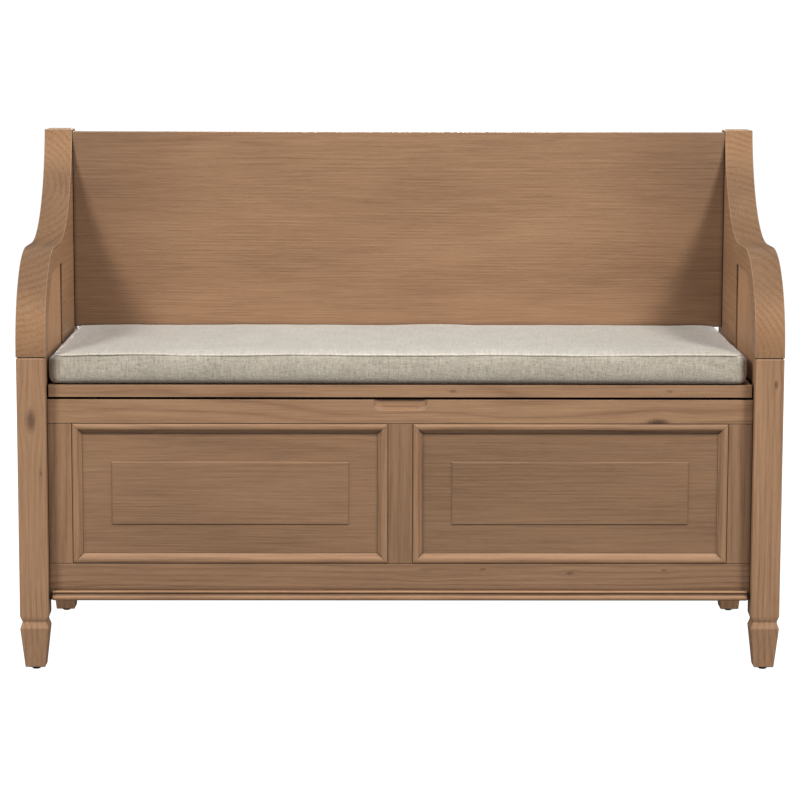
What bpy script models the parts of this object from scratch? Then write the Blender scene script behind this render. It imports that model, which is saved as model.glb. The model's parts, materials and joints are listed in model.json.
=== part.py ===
"""A storage bench with S-curved arms, a panelled chest, a hinged seat lid and a boxed cushion.

The bench stands on z = 0 with its front towards -Y, and its footprint is centred on the origin.
Lengths are in metres. "Left" and "right" are as seen from the front, so left is -X.
"""

import math

import bmesh
import bpy
from mathutils import Vector

# Overall size and the clearance between pieces that touch.
WIDTH = 1.070
DEPTH = 0.440
HEIGHT = 0.745
GAP = 0.0003
FRONT = -DEPTH / 2
REAR = DEPTH / 2
SIDES = {"left": -1, "right": 1}

# Sides: legs, S-shaped arms and the panels under them. X values are distances from the centre.
ARM_THICKNESS = 0.0415
ARM_OUTER = WIDTH / 2
ARM_INNER = ARM_OUTER - ARM_THICKNESS
LEG_WIDTH = 0.040
LEG_INSET = 0.0005
LEG_CENTRE = ARM_OUTER - LEG_INSET - LEG_WIDTH / 2
LEG_INNER = LEG_CENTRE - LEG_WIDTH / 2
FRONT_LEG_BACK = FRONT + LEG_WIDTH
REAR_LEG_DEPTH = 0.046
REAR_LEG_FRONT = REAR - REAR_LEG_DEPTH
FRONT_LEG_TOP = 0.4447
LEG_ARRIS = 0.0015
GLIDE_RADIUS = 0.007
GLIDE_HEIGHT = 0.004
FOOT_TAPER = 0.006
FOOT_TOP = 0.0610
GROOVE_BOTTOM = 0.0700
GROOVE_TOP = 0.0785
GROOVE_DEPTH = 0.0032
RAIL_THICKNESS = 0.022
SIDE_RAIL_INNER = 0.5025
SIDE_PANEL_INNER = 0.509
SIDE_PANEL_THICKNESS = 0.010
ARM_PANEL_INNER = ARM_INNER + 0.003
ARM_PANEL_THICKNESS = 0.024

# The arm's outline in the YZ plane: a quarter round, a level armrest and a hollow sweep to the post.
ARM_TOP = 0.589
ARM_ROUND_DEPTH = 0.135
ARM_ROUND_BASE = 0.452
ARM_UNDERSIDE = 0.557
ARM_SWEEP_START = (FRONT + 0.205, 0.5885)
ARM_SWEEP_TOP = (FRONT + 0.390, HEIGHT)
ARM_SWEEP_RADIUS = 0.192
ARM_BOARD_FRONT = FRONT + 0.228
ARM_JOINT_ARRIS = 0.0012
ARC_STEPS = 14

# Heights of the chest and the seat.
SEAT_TOP = 0.405
LID_THICKNESS = 0.017
LID_BOTTOM = SEAT_TOP - LID_THICKNESS
BOX_TOP = 0.3845
SIDE_RAIL_TOP = 0.403
TOP_RAIL_BOTTOM = 0.3505
BOTTOM_RAIL_TOP = 0.151
BOX_BOTTOM = 0.0990

# Chest front: a frame of rails and stiles round two panels.
FRAME_FRONT = FRONT + 0.017
FRAME_BACK = FRONT_LEG_BACK
OPENING_OUTER = 0.4605
CENTRE_STILE_HALF = 0.0172
PANEL_FRONT = FRAME_FRONT + 0.0055
PANEL_THICKNESS = 0.008
MOULDING_WIDTH = 0.014
MOULDING_FLANK = 0.0042
MOULDING_RISE = 0.0016
MOULDING_QUIRK = 0.0012
FIELD_INSET = 0.0545
FIELD_BEVEL = 0.0015
FIELD_RISE = 0.0016
BASE_MOULDING_HALF = 0.4895
BASE_MOULDING_TOP = 0.113
SCOOP_HALF_WIDTH = 0.0375
SCOOP_BOTTOM = 0.3695
SCOOP_DEPTH = 0.0055
SCOOP_OVERSHOOT = 0.010
SCOOP_CORNER = 0.010
SCOOP_SLOPE = (0.010, 0.004)
BUMPER_RADIUS = 0.005
BUMPER_X = 0.430

# Chest inside and back.
SEAT_BACK_FRONT = FRONT + 0.388
SEAT_BACK_THICKNESS = 0.018
SEAT_BACK_BOTTOM = 0.446
SEAT_BACK_TOP = 0.7415
REAR_RAIL_FRONT = FRONT + 0.363
REAR_RAIL_BACK = REAR_RAIL_FRONT + 0.020
REAR_TOP_RAIL_BOTTOM = 0.330
BOX_BACK_BACK = REAR_LEG_FRONT - GAP
FLOOR_BOARD_BOTTOM = 0.112
FLOOR_BOARD_THICKNESS = 0.010
CLEAT_DEPTH = 0.018

# Lid, hinges and cushion. The lid turns about the hinge pins, and the loose cushion is carried up with
# it about its own top rear edge.
LID_FRONT = FRAME_FRONT
LID_HALF_WIDTH = 0.492
HINGE_Y = FRONT + 0.346
HINGE_Z = 0.4015
HINGE_GAP = 0.007
HINGE_X = 0.330
HINGE_LENGTH = 0.063
KNUCKLE_RADIUS = 0.0029
PIN_RADIUS = 0.0013
PIN_CLEARANCE = 0.0002
LEAF_THICKNESS = 0.0015
LEAF_BOTTOM = LID_BOTTOM + 0.0015
SCREW_SPACING = 0.040
SCREW_Z = 0.3932
SCREW_RADIUS = 0.0011
SCREW_HEAD_RADIUS = 0.0023
SCREW_HEAD_DEPTH = 0.0012
SCREW_LENGTH = 0.014
CUSHION_LEFT = -0.4930
CUSHION_RIGHT = 0.4865
CUSHION_FRONT = LID_FRONT
CUSHION_BACK = FRONT + 0.385
CUSHION_TOP = 0.450
CUSHION_CORNER = 0.018
CUSHION_EDGE = 0.006
CUSHION_PIVOT = (FRONT + 0.3855, CUSHION_TOP + 0.0005)

# Material: base colour, roughness, metallic.
WOOD = ("wood", (0.356, 0.206, 0.118), 0.55, 0.0)
FABRIC = ("fabric", (0.630, 0.590, 0.520), 0.95, 0.0)
STEEL = ("steel", (0.450, 0.430, 0.400), 0.35, 1.0)
RUBBER = ("rubber", (0.020, 0.020, 0.020), 0.80, 0.0)


def clear_scene():
    for obj in list(bpy.data.objects):
        bpy.data.objects.remove(obj)


def make_material(name, finish):
    """A Principled material of the piece's own."""
    kind, colour, roughness, metallic = finish
    material = bpy.data.materials.new(f"{name}_{kind}")
    material.use_nodes = True
    shader = material.node_tree.nodes["Principled BSDF"]
    shader.inputs["Base Color"].default_value = (*colour, 1.0)
    shader.inputs["Roughness"].default_value = roughness
    shader.inputs["Metallic"].default_value = metallic
    return material


def add_pivot(name, y, z):
    """An empty on a joint's axis, which runs along X."""
    pivot = bpy.data.objects.new(name, None)
    pivot.location = (0, y, z)
    bpy.context.scene.collection.objects.link(pivot)
    return pivot


def add_object(name, bm, finish, parent=None):
    """Makes an object of a mesh built in world coordinates, with its origin at the mesh's centre."""
    bmesh.ops.recalc_face_normals(bm, faces=bm.faces)
    low = Vector(min(v.co[i] for v in bm.verts) for i in range(3))
    high = Vector(max(v.co[i] for v in bm.verts) for i in range(3))
    centre = (low + high) / 2
    bmesh.ops.translate(bm, verts=bm.verts, vec=-centre)
    mesh = bpy.data.meshes.new(name)
    bm.to_mesh(mesh)
    bm.free()
    obj = bpy.data.objects.new(name, mesh)
    bpy.context.scene.collection.objects.link(obj)
    obj.location = centre
    if parent:
        obj.parent = parent
        obj.location = centre - parent.location
    if finish:
        mesh.materials.append(make_material(name, finish))
    return obj


def add_cutter(name, bm, parent=None):
    """A mesh that only shapes others through Boolean modifiers."""
    cutter = add_object(name, bm, None, parent)
    cutter.hide_render = True
    cutter.display_type = "WIRE"
    return cutter


def combine(obj, other, operation):
    modifier = obj.modifiers.new(other.name, "BOOLEAN")
    modifier.operation = operation
    modifier.object = other


def smooth(obj, angle=35):
    obj.data.shade_smooth()
    obj.data.set_sharp_from_angle(angle=math.radians(angle))


def loft(bm, rings):
    """A closed solid through rings of equally many points, capped at both ends."""
    loops = [[bm.verts.new(point) for point in ring] for ring in rings]
    for lower, upper in zip(loops, loops[1:]):
        for i in range(len(lower)):
            j = (i + 1) % len(lower)
            bm.faces.new((lower[i], lower[j], upper[j], upper[i]))
    bm.faces.new(loops[0])
    bm.faces.new(loops[-1])


def add_box(name, x_range, y_range, z_range, finish=WOOD, parent=None):
    bm = bmesh.new()
    corners = ((0, 0), (1, 0), (1, 1), (0, 1))
    loft(bm, [[(x_range[i], y_range[j], z) for i, j in corners] for z in z_range])
    return add_object(name, bm, finish, parent)


def mirrored(side, inner, outer):
    """The X range of a piece between two distances from the centre, low value first."""
    return sorted((side * inner, side * outer))


def extrude_along_x(bm, outline, x_range):
    loft(bm, [[(x, y, z) for y, z in outline] for x in x_range])


def revolve_along_y(bm, profile, x, z, steps=12):
    """A round solid about a line along Y, through (y, radius) points."""
    turns = [2 * math.pi * i / steps for i in range(steps)]
    loft(bm, [[(x + r * math.cos(t), y, z + r * math.sin(t)) for t in turns] for y, r in profile])


def revolve_along_z(bm, profile, x, y, steps=24):
    """A round solid about an upright line, through (z, radius) points."""
    turns = [2 * math.pi * i / steps for i in range(steps)]
    loft(bm, [[(x + r * math.cos(t), y + r * math.sin(t), z) for t in turns] for z, r in profile])


def arc(centre, radii, start, end, steps=ARC_STEPS):
    """Points of an ellipse's arc, with its angles in degrees from +Y towards +Z."""
    angles = [math.radians(start + (end - start) * i / steps) for i in range(steps + 1)]
    return [(centre[0] + radii[0] * math.cos(a), centre[1] + radii[1] * math.sin(a)) for a in angles]


def sweep_arc():
    """The arm's hollow sweep: a circle's arc that sags below the line from the armrest to the post."""
    start, end = Vector(ARM_SWEEP_START), Vector(ARM_SWEEP_TOP)
    chord = end - start
    rise = math.sqrt(ARM_SWEEP_RADIUS**2 - (chord.length / 2) ** 2)
    centre = (start + end) / 2 + Vector((-chord.y, chord.x)).normalized() * rise
    first = math.degrees(math.atan2(*(start - centre).yx))
    last = math.degrees(math.atan2(*(end - centre).yx))
    return arc(centre, (ARM_SWEEP_RADIUS, ARM_SWEEP_RADIUS), first, last)


def arm_round():
    """The arm's outer quarter round, from over the front leg up to the armrest."""
    centre = (FRONT + ARM_ROUND_DEPTH, ARM_ROUND_BASE)
    return arc(centre, (ARM_ROUND_DEPTH, ARM_TOP - ARM_ROUND_BASE), 180, 90)


def arm_underside(clearance=0.0):
    """The inner quarter round, from behind the front leg up to the armrest's underside."""
    centre = (FRONT + ARM_ROUND_DEPTH, ARM_ROUND_BASE)
    radii = (ARM_ROUND_DEPTH - LEG_WIDTH - clearance, ARM_UNDERSIDE - ARM_ROUND_BASE - clearance)
    return arc(centre, radii, 180, 90)


def arm_outline():
    base = FRONT_LEG_TOP + GAP
    board_bottom = SIDE_RAIL_TOP + GAP
    return [
        (FRONT + ARM_JOINT_ARRIS, base),
        (FRONT, base + ARM_JOINT_ARRIS),
        *arm_round(),
        *sweep_arc(),
        (REAR_LEG_FRONT - GAP, HEIGHT),
        (REAR_LEG_FRONT - GAP, board_bottom),
        (ARM_BOARD_FRONT, board_bottom),
        (ARM_BOARD_FRONT, ARM_UNDERSIDE),
        *reversed(arm_underside()),
        (FRONT_LEG_BACK, base),
    ]


def arm_panel_outline():
    """The panel that fills the space between the front leg, the arm's underside and the rear board."""
    bottom = SIDE_RAIL_TOP + GAP
    back = ARM_BOARD_FRONT - GAP
    front = FRONT_LEG_BACK + GAP
    return [(front, bottom), *arm_underside(GAP), (back, ARM_UNDERSIDE - GAP), (back, bottom)]


def leg_rings(centre, half_depth, top):
    """Square sections of a leg: a tapered foot, a V-groove and a plain post with eased top edges."""
    half = LEG_WIDTH / 2
    insets = (
        (GLIDE_HEIGHT + GAP, FOOT_TAPER),
        (FOOT_TOP, 0),
        (GROOVE_BOTTOM, GROOVE_DEPTH),
        (GROOVE_TOP, 0),
        (top - LEG_ARRIS, 0),
        (top, LEG_ARRIS),
    )
    corners = ((-1, -1), (1, -1), (1, 1), (-1, 1))
    return [
        [(centre[0] + i * (half - inset), centre[1] + j * (half_depth - inset), z) for i, j in corners]
        for z, inset in insets
    ]


def add_leg(name, x, y, half_depth, top):
    bm = bmesh.new()
    loft(bm, leg_rings((x, y), half_depth, top))
    add_object(name, bm, WOOD)
    bm = bmesh.new()
    half_height = GLIDE_HEIGHT / 2
    profile = ((0, GLIDE_RADIUS - half_height), (half_height, GLIDE_RADIUS), (GLIDE_HEIGHT, GLIDE_RADIUS))
    revolve_along_z(bm, profile, x, y)
    smooth(add_object(name.replace("leg", "glide"), bm, RUBBER))


def add_side(label, side):
    """One end of the bench: legs with glides, the arm and its panel, two rails and the end panel."""
    x = side * LEG_CENTRE
    add_leg(f"front_leg_{label}", x, FRONT + LEG_WIDTH / 2, LEG_WIDTH / 2, FRONT_LEG_TOP)
    add_leg(f"rear_leg_{label}", x, REAR - REAR_LEG_DEPTH / 2, REAR_LEG_DEPTH / 2, HEIGHT)
    bm = bmesh.new()
    extrude_along_x(bm, arm_outline(), mirrored(side, ARM_INNER, ARM_OUTER))
    smooth(add_object(f"arm_{label}", bm, WOOD))
    bm = bmesh.new()
    panel_x = mirrored(side, ARM_PANEL_INNER, ARM_PANEL_INNER + ARM_PANEL_THICKNESS)
    extrude_along_x(bm, arm_panel_outline(), panel_x)
    smooth(add_object(f"arm_panel_{label}", bm, WOOD))

    between_legs = (FRONT_LEG_BACK + GAP, REAR_LEG_FRONT - GAP)
    rail_x = mirrored(side, SIDE_RAIL_INNER, SIDE_RAIL_INNER + RAIL_THICKNESS)
    end_x = mirrored(side, SIDE_PANEL_INNER, SIDE_PANEL_INNER + SIDE_PANEL_THICKNESS)
    add_box(f"side_top_rail_{label}", rail_x, between_legs, (TOP_RAIL_BOTTOM, SIDE_RAIL_TOP))
    add_box(f"side_bottom_rail_{label}", rail_x, between_legs, (BOX_BOTTOM, BOTTOM_RAIL_TOP))
    panel_z = (BOTTOM_RAIL_TOP + GAP, TOP_RAIL_BOTTOM - GAP)
    add_box(f"side_panel_{label}", end_x, between_legs, panel_z)


def scoop_ring(y, shrink):
    """The finger scoop's outline at a depth: level at the top, with round corners at the bottom."""
    half = SCOOP_HALF_WIDTH - SCOOP_SLOPE[0] * shrink
    bottom = SCOOP_BOTTOM + SCOOP_SLOPE[1] * shrink
    top = BOX_TOP + SCOOP_OVERSHOOT
    radii = (SCOOP_CORNER, SCOOP_CORNER)
    left = arc((SCOOP_CORNER - half, bottom + SCOOP_CORNER), radii, 180, 270, 6)
    right = arc((half - SCOOP_CORNER, bottom + SCOOP_CORNER), radii, 270, 360, 6)
    return [(x, y, z) for x, z in [(-half, top), *left, *right, (half, top)]]


def add_front_top_rail():
    """The rail under the lid's front edge, with a shallow finger scoop in the middle of its top."""
    half = LEG_INNER - GAP
    rail = add_box("front_top_rail", (-half, half), (FRAME_FRONT, FRAME_BACK), (TOP_RAIL_BOTTOM, BOX_TOP))
    steps = 5
    turns = [math.pi / 2 * i / steps for i in range(steps + 1)]
    rings = [scoop_ring(FRAME_FRONT + SCOOP_DEPTH * math.sin(t), 1 - math.cos(t)) for t in turns]
    bm = bmesh.new()
    loft(bm, [scoop_ring(FRAME_FRONT - SCOOP_OVERSHOOT, 0), *rings])
    combine(rail, add_cutter("finger_scoop_cutter", bm), "DIFFERENCE")


def add_front_frame():
    """Rails and stiles of the chest's front, all in one plane."""
    half = LEG_INNER - GAP
    y_range = (FRAME_FRONT, FRAME_BACK)
    stile_z = (BOTTOM_RAIL_TOP + GAP, TOP_RAIL_BOTTOM - GAP)
    add_front_top_rail()
    add_box("front_bottom_rail", (-half, half), y_range, (BOX_BOTTOM, BOTTOM_RAIL_TOP))
    add_box("front_centre_stile", (-CENTRE_STILE_HALF, CENTRE_STILE_HALF), y_range, stile_z)
    for label, side in SIDES.items():
        add_box(f"front_stile_{label}", mirrored(side, OPENING_OUTER, half), y_range, stile_z)


def rectangle(x_range, z_range, inset, y):
    """The corners of an upright rectangle drawn in by inset."""
    left, right = x_range[0] + inset, x_range[1] - inset
    bottom, top = z_range[0] + inset, z_range[1] - inset
    return [(left, y, bottom), (right, y, bottom), (right, y, top), (left, y, top)]


def add_panel(name, x_range, z_range):
    """A panel with flat margins round a low raised field with bevelled edges."""
    steps = ((0, 0), (FIELD_INSET, 0), (FIELD_INSET + FIELD_BEVEL, FIELD_RISE))
    bm = bmesh.new()
    back = rectangle(x_range, z_range, 0, PANEL_FRONT + PANEL_THICKNESS)
    front = [rectangle(x_range, z_range, inset, PANEL_FRONT - rise) for inset, rise in steps]
    loft(bm, [back, *front])
    add_object(name, bm, WOOD)


def moulding_profile():
    """(distance in from the opening's edge, distance in front of the frame's face), round the section:
    a low bead between a quirk and a flank that slopes down to the panel."""
    back = FRAME_FRONT - PANEL_FRONT + GAP
    bead_half = (MOULDING_WIDTH - MOULDING_FLANK - GAP) / 2
    centre = (GAP + bead_half, -MOULDING_QUIRK)
    bead = arc(centre, (bead_half, MOULDING_QUIRK + MOULDING_RISE), 180, 0, 10)
    return [(GAP, back), *bead, (MOULDING_WIDTH, back + GAP), (MOULDING_WIDTH, back)]


def add_mouldings(label, x_range, z_range):
    """Four mitred strips round a panel. Each one ends at 45 degrees, so a point lies further along the
    strip the further in from the edge it is."""
    corners = [Vector(corner) for corner in rectangle(x_range, z_range, 0, FRAME_FRONT)]
    profile = moulding_profile()
    forward = Vector((0, -1, 0))
    for i, place in enumerate(("bottom", "right", "top", "left")):
        start, end = corners[i], corners[(i + 1) % 4]
        along = (end - start).normalized()
        inward = Vector((-along.z, 0, along.x))
        first = [start + across * inward + out * forward + (across + GAP) * along for across, out in profile]
        last = [end + across * inward + out * forward - (across + GAP) * along for across, out in profile]
        bm = bmesh.new()
        loft(bm, [first, last])
        smooth(add_object(f"panel_moulding_{label}_{place}", bm, WOOD))


def add_panels():
    z_range = (BOTTOM_RAIL_TOP, TOP_RAIL_BOTTOM)
    for label, side in SIDES.items():
        x_range = mirrored(side, CENTRE_STILE_HALF, OPENING_OUTER)
        inside = (x_range[0] + GAP, x_range[1] - GAP)
        add_panel(f"front_panel_{label}", inside, (z_range[0] + GAP, z_range[1] - GAP))
        add_mouldings(label, x_range, z_range)


def add_base_moulding():
    """A strip along the bottom rail with a large bead below a small one."""
    back = FRAME_FRONT - GAP
    large = arc((FRAME_FRONT - 0.0050, 0.1030), (0.0035, 0.0038), 270, 90, 6)
    small = arc((FRAME_FRONT - 0.0045, 0.1113), (0.0025, BASE_MOULDING_TOP - 0.1113), 250, 90, 5)
    outline = [(back, 0.0990), *large, (FRAME_FRONT - 0.0045, 0.1078), *small, (back, BASE_MOULDING_TOP)]
    bm = bmesh.new()
    extrude_along_x(bm, outline, (-BASE_MOULDING_HALF, BASE_MOULDING_HALF))
    smooth(add_object("base_moulding", bm, WOOD))


def add_chest_inside():
    """Floor board on two cleats, the rear rails, the back board and the seat's fixed rear strip."""
    half = SIDE_RAIL_INNER - GAP
    whole = (-half, half)
    between_legs = (-LEG_INNER + GAP, LEG_INNER - GAP)
    board_y = (FRAME_BACK + GAP, REAR_RAIL_FRONT - GAP)
    board_z = (FLOOR_BOARD_BOTTOM, FLOOR_BOARD_BOTTOM + FLOOR_BOARD_THICKNESS)
    add_box("floor_board", between_legs, board_y, board_z)
    cleat_z = (BOX_BOTTOM, FLOOR_BOARD_BOTTOM - GAP)
    front_cleat_y = (FRAME_BACK + GAP, FRAME_BACK + GAP + CLEAT_DEPTH)
    rear_cleat_y = (REAR_RAIL_FRONT - GAP - CLEAT_DEPTH, REAR_RAIL_FRONT - GAP)
    add_box("floor_cleat_front", between_legs, front_cleat_y, cleat_z)
    add_box("floor_cleat_rear", between_legs, rear_cleat_y, cleat_z)
    rail_y = (REAR_RAIL_FRONT, REAR_RAIL_BACK)
    add_box("rear_top_rail", whole, rail_y, (REAR_TOP_RAIL_BOTTOM, LID_BOTTOM - GAP))
    add_box("rear_bottom_rail", whole, rail_y, (BOX_BOTTOM, BOTTOM_RAIL_TOP))
    add_box("chest_back_board", whole, (REAR_RAIL_BACK + GAP, BOX_BACK_BACK), (BOX_BOTTOM, LID_BOTTOM - GAP))


def add_seat_back():
    half = ARM_INNER - GAP
    y_range = (SEAT_BACK_FRONT, SEAT_BACK_FRONT + SEAT_BACK_THICKNESS)
    add_box("seat_back_panel", (-half, half), y_range, (SEAT_BACK_BOTTOM, SEAT_BACK_TOP))


def add_bumpers():
    """Rubber buttons on the front rail that the closed lid rests on."""
    for label, side in SIDES.items():
        bm = bmesh.new()
        profile = ((BOX_TOP + GAP, BUMPER_RADIUS), (LID_BOTTOM - GAP, BUMPER_RADIUS))
        revolve_along_z(bm, profile, side * BUMPER_X, (FRAME_FRONT + FRAME_BACK) / 2, 16)
        smooth(add_object(f"lid_bumper_{label}", bm, RUBBER))


def screw_profile(face, direction, grow=0.0):
    """(y, radius) points of a countersunk screw whose head lies in face and whose tip points in
    direction; grown, it is the hole that holds it."""
    lead = face - direction * grow * 3
    neck = face + direction * SCREW_HEAD_DEPTH
    tip = face + direction * (SCREW_LENGTH + grow)
    head, shank = SCREW_HEAD_RADIUS + grow, SCREW_RADIUS + grow
    points = [(lead, head), (neck, shank), (tip - direction * shank, shank), (tip, shank * 0.4)]
    return [(lead, head), (face, head), *points[1:]] if grow else points


def leaf_outline(direction):
    """The section of a hinge leaf with its knuckle: a strip that rises into a ring's outer circle."""
    outer = HINGE_Y + direction * KNUCKLE_RADIUS
    inner = outer - direction * LEAF_THICKNESS
    base = HINGE_Z - KNUCKLE_RADIUS - PIN_CLEARANCE
    radii = (KNUCKLE_RADIUS, KNUCKLE_RADIUS)
    start = 0 if direction > 0 else 180
    drop = math.degrees(math.acos(1 - LEAF_THICKNESS / KNUCKLE_RADIUS))
    ring = arc((HINGE_Y, HINGE_Z), radii, start, start + direction * (360 - drop), 16)
    return [(inner, base), (outer, base), *ring]


def add_leaf(name, direction, knuckles, x, parent):
    """A hinge leaf against the rear edge of the lid, or against the fixed strip behind it."""
    outer = HINGE_Y + direction * KNUCKLE_RADIUS
    y_range = sorted((outer, outer - direction * LEAF_THICKNESS))
    half = HINGE_LENGTH / 2
    plate_top = HINGE_Z - KNUCKLE_RADIUS - PIN_CLEARANCE
    leaf = add_box(name, (x - half, x + half), y_range, (LEAF_BOTTOM, plate_top), STEEL, parent)
    bm = bmesh.new()
    outline = leaf_outline(direction)
    overlap = [(y, LEAF_BOTTOM + LEAF_THICKNESS) for y, z in outline[:2]]
    for start, end in knuckles:
        extrude_along_x(bm, [*overlap, *outline[2:]], (x + start, x + end))
    combine(leaf, add_cutter(f"{name}_knuckles", bm, parent), "UNION")
    bm = bmesh.new()
    steps = 12
    radius = PIN_RADIUS + PIN_CLEARANCE
    bore = arc((HINGE_Y, HINGE_Z), (radius, radius), 0, 360 * (steps - 1) / steps, steps - 1)
    extrude_along_x(bm, bore, (x - HINGE_LENGTH, x + HINGE_LENGTH))
    combine(leaf, add_cutter(f"{name}_bore", bm, parent), "DIFFERENCE")
    return leaf


def add_screws(name, direction, x, leaf, board, parent):
    """Two countersunk screws through a leaf into the edge of a board, in holes of their own."""
    face = HINGE_Y + direction * (KNUCKLE_RADIUS - LEAF_THICKNESS)
    holes = bmesh.new()
    for number, offset in enumerate((-SCREW_SPACING / 2, SCREW_SPACING / 2), 1):
        bm = bmesh.new()
        revolve_along_y(bm, screw_profile(face, direction), x + offset, SCREW_Z)
        add_object(f"{name}_{number}", bm, STEEL, parent)
        revolve_along_y(holes, screw_profile(face, direction, GAP), x + offset, SCREW_Z)
    cutter = add_cutter(f"{name}_holes", holes, parent)
    combine(leaf, cutter, "DIFFERENCE")
    combine(board, cutter, "DIFFERENCE")


def add_hinge(label, side, lid, strip, pivot):
    """A butt hinge: the fixed leaf has the outer knuckles, the lid's leaf the middle one."""
    x = side * HINGE_X
    half, third = HINGE_LENGTH / 2, HINGE_LENGTH / 6
    outer_knuckles = ((-half, -third - GAP), (third + GAP, half))
    fixed = add_leaf(f"hinge_fixed_leaf_{label}", 1, outer_knuckles, x, None)
    moving = add_leaf(f"hinge_lid_leaf_{label}", -1, ((-third, third),), x, pivot)
    add_screws(f"hinge_fixed_screw_{label}", 1, x, fixed, strip, None)
    add_screws(f"hinge_lid_screw_{label}", -1, x, moving, lid, pivot)
    bm = bmesh.new()
    pin = arc((HINGE_Y, HINGE_Z), (PIN_RADIUS, PIN_RADIUS), 0, 330, 11)
    extrude_along_x(bm, pin, (x - half, x + half))
    smooth(add_object(f"hinge_pin_{label}", bm, STEEL))


def add_lid_and_hinges():
    """The seat board, the fixed strip behind it and the two hinges in the joint between them."""
    pivot = add_pivot("lid_pivot", HINGE_Y, HINGE_Z)
    lid_y = (LID_FRONT, HINGE_Y - HINGE_GAP / 2)
    strip_y = (HINGE_Y + HINGE_GAP / 2, BOX_BACK_BACK)
    strip_half = ARM_INNER - GAP
    z_range = (LID_BOTTOM, SEAT_TOP)
    lid = add_box("seat_lid", (-LID_HALF_WIDTH, LID_HALF_WIDTH), lid_y, z_range, WOOD, pivot)
    strip = add_box("rear_seat_strip", (-strip_half, strip_half), strip_y, z_range)
    for label, side in SIDES.items():
        add_hinge(label, side, lid, strip, pivot)


def cushion_ring(z, inset):
    """A rounded rectangle, the cushion's plan at height z."""
    left, right = CUSHION_LEFT + inset, CUSHION_RIGHT - inset
    front, back = CUSHION_FRONT + inset, CUSHION_BACK - inset
    radii = (CUSHION_CORNER, CUSHION_CORNER)
    corners = ((right, back, -1, -1), (left, back, 1, -1), (left, front, 1, 1), (right, front, -1, 1))
    points = []
    for turn, (x, y, toward_x, toward_y) in enumerate(corners):
        centre = (x + toward_x * CUSHION_CORNER, y + toward_y * CUSHION_CORNER)
        points += arc(centre, radii, 90 * turn, 90 * (turn + 1), 4)
    return [(x, y, z) for x, y in points]


def add_cushion():
    bottom = SEAT_TOP + GAP
    pivot = add_pivot("cushion_pivot", *CUSHION_PIVOT)
    levels = (
        (bottom, CUSHION_EDGE),
        (bottom + CUSHION_EDGE, 0),
        (CUSHION_TOP - CUSHION_EDGE, 0),
        (CUSHION_TOP, CUSHION_EDGE),
    )
    bm = bmesh.new()
    loft(bm, [cushion_ring(z, inset) for z, inset in levels])
    smooth(add_object("cushion", bm, FABRIC, pivot))


def main():
    clear_scene()
    for label, side in SIDES.items():
        add_side(label, side)
    add_front_frame()
    add_panels()
    add_base_moulding()
    add_chest_inside()
    add_seat_back()
    add_bumpers()
    add_lid_and_hinges()
    add_cushion()


main()
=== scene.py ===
"""The looks of the storage bench: solid wood and veneer, a linen cushion, steel hinges and rubber.

Every shape is placed from the CAD nodes' boxes, in metres, with +Z up and the front towards -Y.
"""

import json
import math
import random

import bmesh
import bpy
from mathutils import Euler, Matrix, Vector, noise

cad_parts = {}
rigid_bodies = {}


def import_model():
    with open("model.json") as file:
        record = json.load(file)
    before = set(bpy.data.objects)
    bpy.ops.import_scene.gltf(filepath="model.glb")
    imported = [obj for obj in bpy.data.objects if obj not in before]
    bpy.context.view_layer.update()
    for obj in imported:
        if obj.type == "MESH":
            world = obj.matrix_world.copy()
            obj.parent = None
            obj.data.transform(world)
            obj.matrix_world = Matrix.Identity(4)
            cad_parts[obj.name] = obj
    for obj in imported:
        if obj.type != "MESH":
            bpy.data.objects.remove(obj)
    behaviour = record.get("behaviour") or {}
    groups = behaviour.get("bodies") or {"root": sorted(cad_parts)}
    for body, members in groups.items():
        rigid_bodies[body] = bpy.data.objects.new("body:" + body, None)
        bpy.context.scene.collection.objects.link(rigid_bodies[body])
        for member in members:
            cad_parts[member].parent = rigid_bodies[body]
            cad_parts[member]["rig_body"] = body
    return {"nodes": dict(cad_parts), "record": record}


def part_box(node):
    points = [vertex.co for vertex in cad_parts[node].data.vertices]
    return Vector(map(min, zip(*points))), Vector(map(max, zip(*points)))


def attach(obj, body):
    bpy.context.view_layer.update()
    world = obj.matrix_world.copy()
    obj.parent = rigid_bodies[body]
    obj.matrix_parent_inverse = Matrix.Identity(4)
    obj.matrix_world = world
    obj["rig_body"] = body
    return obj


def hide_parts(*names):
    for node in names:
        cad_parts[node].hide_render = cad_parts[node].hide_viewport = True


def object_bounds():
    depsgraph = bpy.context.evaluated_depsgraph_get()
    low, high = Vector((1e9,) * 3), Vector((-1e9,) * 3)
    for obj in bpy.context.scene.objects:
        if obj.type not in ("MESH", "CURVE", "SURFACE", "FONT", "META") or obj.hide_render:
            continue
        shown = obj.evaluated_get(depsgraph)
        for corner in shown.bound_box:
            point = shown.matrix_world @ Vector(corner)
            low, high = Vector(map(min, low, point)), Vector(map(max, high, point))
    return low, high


# Camera: a long lens a little higher than the bench, aimed slightly down; metres, degrees, millimetres.
CAMERA_PLACE = (-0.034, -4.150, 0.927)
CAMERA_PITCH = 7.832
CAMERA_YAW = 0.484
CAMERA_ROLL = 0.131
CAMERA_LENS = 128.18
SENSOR_WIDTH = 36.0

# Studio: a warm softbox at each front side and behind, a cool one overhead, a cool sky and a pale floor.
# The sky and the floor are brighter to the eye than they shine on the bench.
SOFTBOX_DISTANCE = 3.6
SOFTBOX_SIZE = 0.75
WARM_LIGHT = (1.0, 0.98, 0.955)
COOL_LIGHT = (0.75, 0.88, 1.0)
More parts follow.
